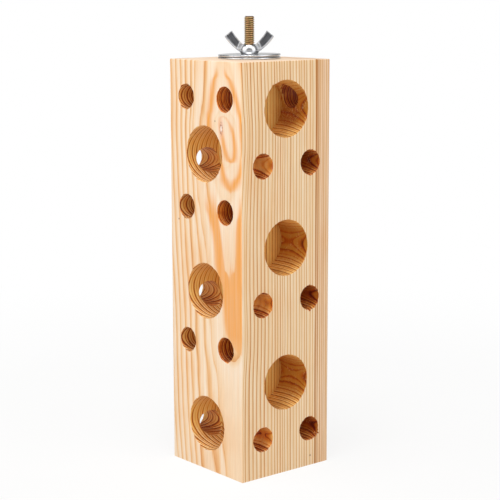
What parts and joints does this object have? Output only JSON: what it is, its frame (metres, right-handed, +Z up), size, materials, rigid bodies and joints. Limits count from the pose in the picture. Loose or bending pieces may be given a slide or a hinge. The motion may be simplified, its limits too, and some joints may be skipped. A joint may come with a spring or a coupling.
{
  "type": "bird perch",
  "caption": "Square drilled softwood post with flat-bottomed treat holes and through holes; a stud, two wide washers and a wing nut clamp it to cage wires.",
  "frame": {"origin": "centre of the block's base", "axes": "+Z up the post along the bolt; the front face looks along -Y and the right face along +X"},
  "size_m": [0.0694, 0.0694, 0.2796],
  "materials": {
    "softwood": "sanded, unfinished pine with close brown rings",
    "yellow_zinc": "yellow-passivated zinc plate on steel",
    "bright_zinc": "bright zinc plate, lightly brushed",
    "nut_zinc": "polished zinc plate, dark in the grip ridges"
  },
  "bodies": {
    "post": {"wood_block": "softwood", "hanger_bolt": "yellow_zinc"},
    "lower_washer": {"lower_washer": "bright_zinc"},
    "upper_washer": {"upper_washer": "bright_zinc"},
    "wing_nut": {"wing_nut": "nut_zinc"}
  },
  "joints": [
    {"name": "lower_washer_spin", "type": "hinge", "parent": "post", "child": "lower_washer", "pos_m": [0, 0, 0.254], "axis": [0, 0, 1], "continuous": true},
    {"name": "upper_washer_lift", "type": "slide", "parent": "post", "child": "upper_washer", "axis": [0, 0, 1], "range_m": [0, 0.01652]},
    {"name": "wing_nut_spin", "type": "hinge", "parent": "upper_washer", "child": "wing_nut", "pos_m": [0, 0, 0.2568], "axis": [0, 0, 1], "range_deg": [0, 4680]}
  ],
  "couplings": [
    {"joint": "upper_washer_lift", "follows": "wing_nut_spin", "m_per_rad": 0.00020213}
  ]
}
